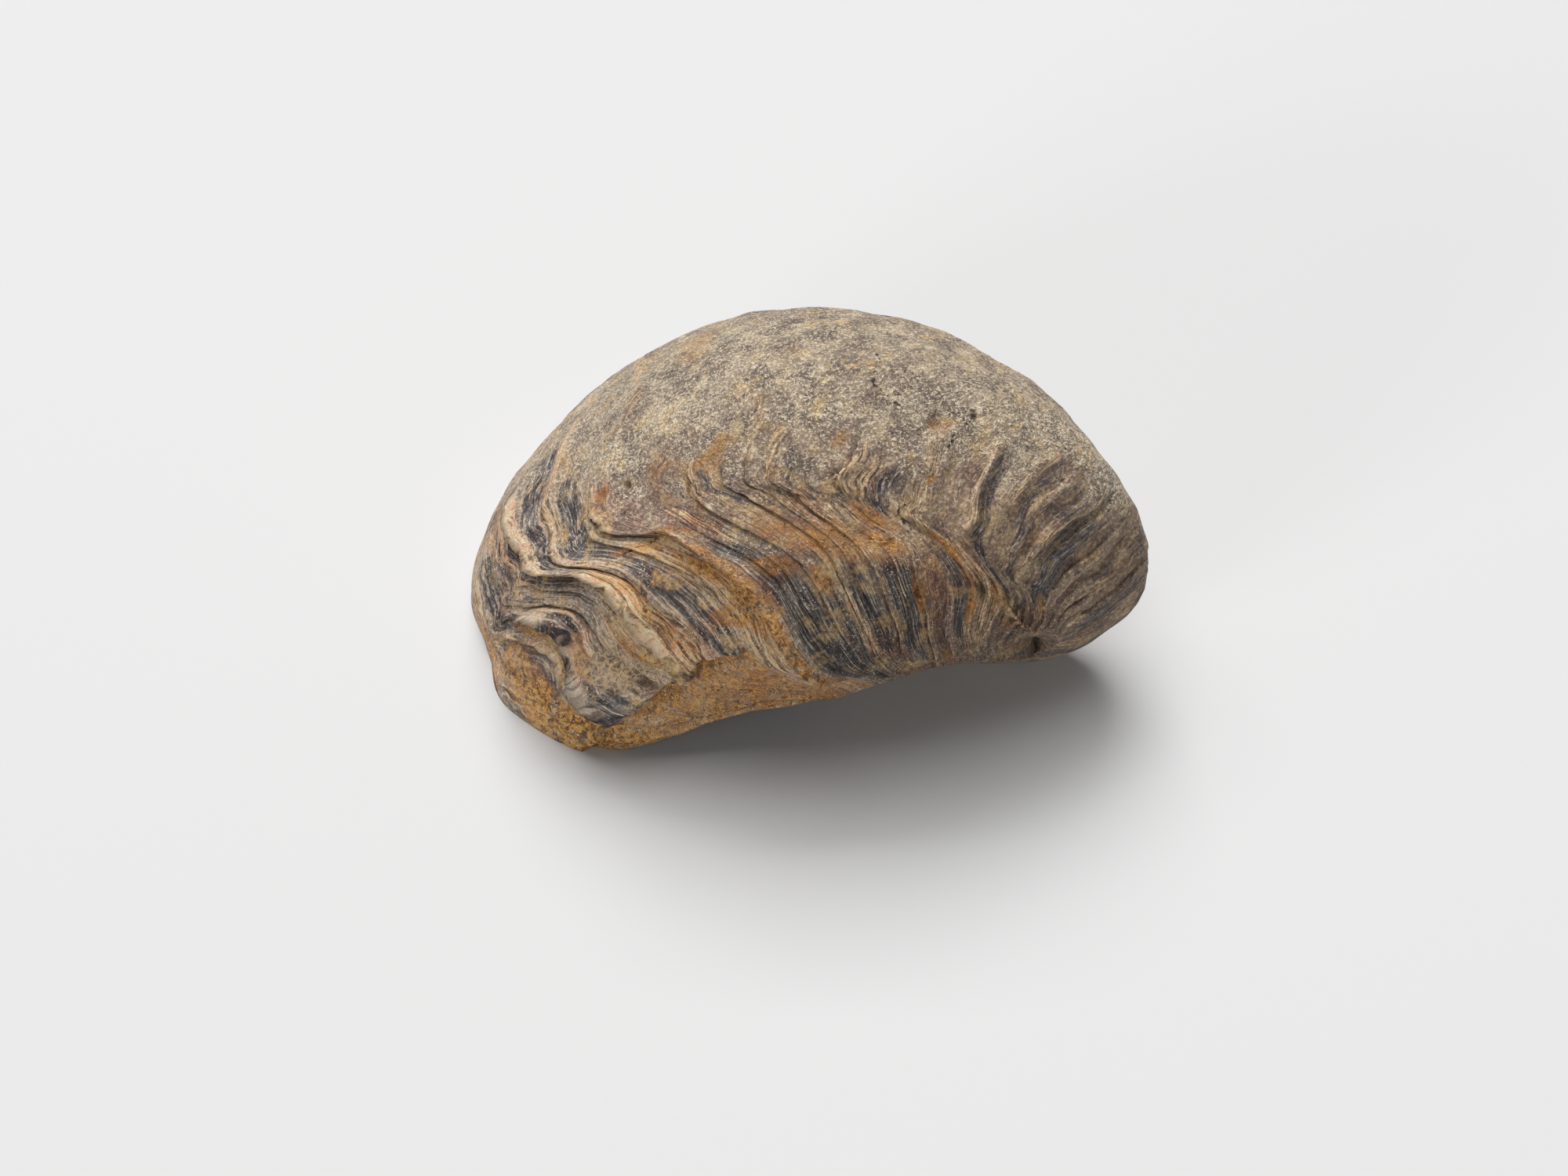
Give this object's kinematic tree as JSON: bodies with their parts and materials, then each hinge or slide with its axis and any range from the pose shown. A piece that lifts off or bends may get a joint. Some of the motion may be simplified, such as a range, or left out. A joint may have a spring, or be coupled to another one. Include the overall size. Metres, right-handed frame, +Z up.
{
  "type": "fossil oyster",
  "caption": "Fossil oyster valve: a thick, strongly arched, hollow shell with a hooked beak and stacked growth layers, lying hollow side down.",
  "frame": {"origin": "on the surface it lies on, under the middle of the valve's bounding box", "axes": "+X from the free edge towards the beak, -Y the side with the furrow and the wing, +Z up through the crest"},
  "size_m": [0.0746, 0.0523, 0.041],
  "materials": {
    "shell_stone": "dull weathered fossil shell, grey-brown with blue-grey layers, cream edges and ochre sediment"
  },
  "bodies": {
    "root": {"oyster_valve": "shell_stone"}
  },
  "joints": []
}
